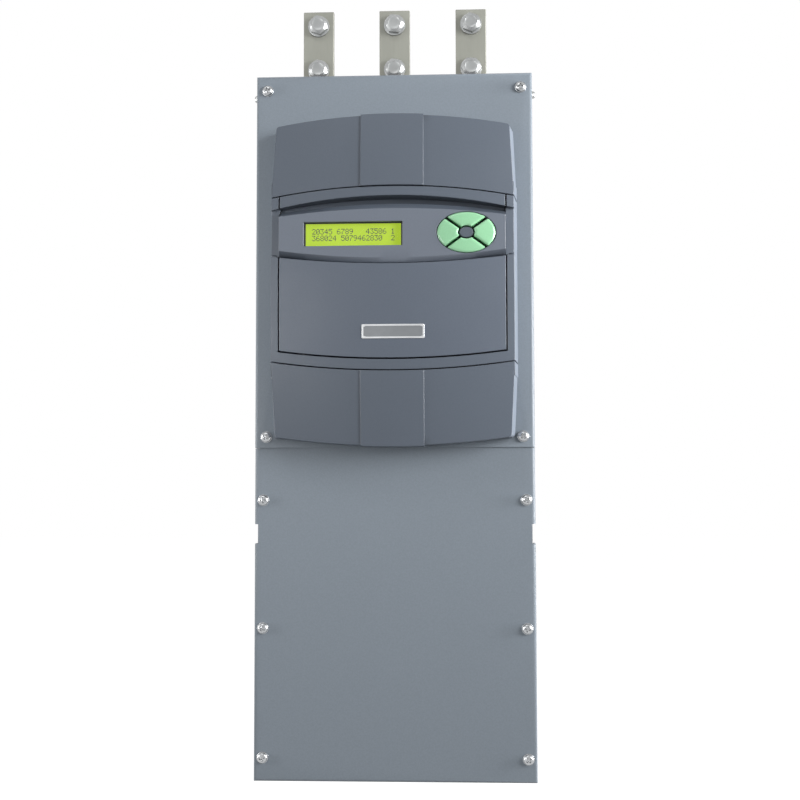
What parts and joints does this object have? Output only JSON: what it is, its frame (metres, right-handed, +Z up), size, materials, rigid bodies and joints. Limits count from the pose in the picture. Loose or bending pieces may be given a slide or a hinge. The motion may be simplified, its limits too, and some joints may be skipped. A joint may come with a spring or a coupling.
{
  "type": "dc motor controller",
  "caption": "Wall-mounted motor controller: tall sheet-metal case, crowned moulded front with display, keypad and hinged door, supply busbars rising from the top.",
  "frame": {"origin": "middle of the footprint, on the surface that the controller stands on", "axes": "+X to the viewer's right, +Y from the front towards the wall, +Z up"},
  "size_m": [0.2592, 0.35, 0.731],
  "materials": {
    "chassis_steel": "zinc-plated sheet",
    "cover_paint": "satin grey-blue powder coat",
    "plated_steel": "zinc-plated",
    "housing_plastic": "fine-grained grey-blue moulding",
    "bezel_plastic": "fine-grained lighter grey-blue moulding",
    "window": "clear",
    "black_plastic": "matt black",
    "lcd_green": "yellow-green display with plain digits",
    "circuit_board": "green solder resist",
    "key_green": "satin pale green",
    "mat_rubber": "dark",
    "badge_metal": "satin, bare",
    "terminal_plastic": "green",
    "cable_grey": "grey",
    "brass": "plain",
    "aluminium": "extruded, uncoated",
    "module_plastic": "dark grey",
    "tinned_bar": "tinned copper",
    "insulator": "red-brown moulding compound",
    "copper_bar": "bare copper"
  },
  "bodies": {
    "case": {"rear_panel": "chassis_steel", "side_panel_left": "chassis_steel", "side_panel_right": "chassis_steel", "top_panel": "chassis_steel", "bottom_panel": "chassis_steel", "upper_cover": "cover_paint", "lower_cover": "cover_paint", "upper_cover_screws": "plated_steel", "lower_cover_screws": "plated_steel", "side_screws": "plated_steel", "chassis_screws": "plated_steel", "front_frame": "housing_plastic", "upper_end_cap": "housing_plastic", "lower_end_cap": "housing_plastic", "housing_screws": "plated_steel", "display_bezel": "bezel_plastic", "display_window": "window", "lcd_frame": "black_plastic", "lcd_glass": "lcd_green", "lcd_board": "circuit_board", "key_mat": "mat_rubber", "keypad_board": "circuit_board", "key_switches": "black_plastic", "control_board": "circuit_board", "terminal_blocks": "terminal_plastic", "control_parts": "black_plastic", "ribbon_cable": "cable_grey", "chassis_plate": "chassis_steel", "board_standoffs": "brass", "power_board": "circuit_board", "power_parts": "black_plastic", "heatsink": "aluminium", "thyristor_module_1": "module_plastic", "thyristor_module_2": "module_plastic", "thyristor_module_3": "module_plastic", "ac_busbar_1": "tinned_bar", "ac_busbar_2": "tinned_bar", "ac_busbar_3": "tinned_bar", "busbar_bolts": "plated_steel", "busbar_insulator": "insulator", "current_transformer_1": "module_plastic", "current_transformer_2": "module_plastic", "dc_busbar_positive": "copper_bar", "dc_busbar_negative": "copper_bar", "dc_busbar_bolts": "plated_steel", "insulator_posts": "insulator", "fan_frame_left": "black_plastic", "fan_frame_right": "black_plastic", "cable_edging": "mat_rubber", "earth_stud": "brass"},
    "up_key": {"key_up": "key_green"},
    "down_key": {"key_down": "key_green"},
    "left_key": {"key_left": "key_green"},
    "right_key": {"key_right": "key_green"},
    "door": {"control_door": "housing_plastic", "door_hinge_pins": "plated_steel", "badge_plate": "badge_metal"},
    "left_fan": {"fan_rotor_left": "black_plastic"},
    "right_fan": {"fan_rotor_right": "black_plastic"}
  },
  "joints": [
    {"name": "up_key_press", "type": "slide", "parent": "case", "child": "up_key", "axis": [0, 1, 0], "range_m": [0, 0.001], "stiffness_N_per_m": 800, "springref_m": -0.0008},
    {"name": "down_key_press", "type": "slide", "parent": "case", "child": "down_key", "axis": [0, 1, 0], "range_m": [0, 0.001], "stiffness_N_per_m": 800, "springref_m": -0.0008},
    {"name": "left_key_press", "type": "slide", "parent": "case", "child": "left_key", "axis": [0, 1, 0], "range_m": [0, 0.001], "stiffness_N_per_m": 800, "springref_m": -0.0008},
    {"name": "right_key_press", "type": "slide", "parent": "case", "child": "right_key", "axis": [0, 1, 0], "range_m": [0, 0.001], "stiffness_N_per_m": 800, "springref_m": -0.0008},
    {"name": "door_hinge", "type": "hinge", "parent": "case", "child": "door", "pos_m": [-0.0784, -0.1615, 0.42], "axis": [0, 0, -1], "range_deg": [0, 75]},
    {"name": "left_fan_spin", "type": "hinge", "parent": "case", "child": "left_fan", "pos_m": [-0.0605, 0.103, 0.0237], "axis": [0, 0, 1], "continuous": true},
    {"name": "right_fan_spin", "type": "hinge", "parent": "case", "child": "right_fan", "pos_m": [0.0605, 0.103, 0.0237], "axis": [0, 0, 1], "continuous": true}
  ]
}
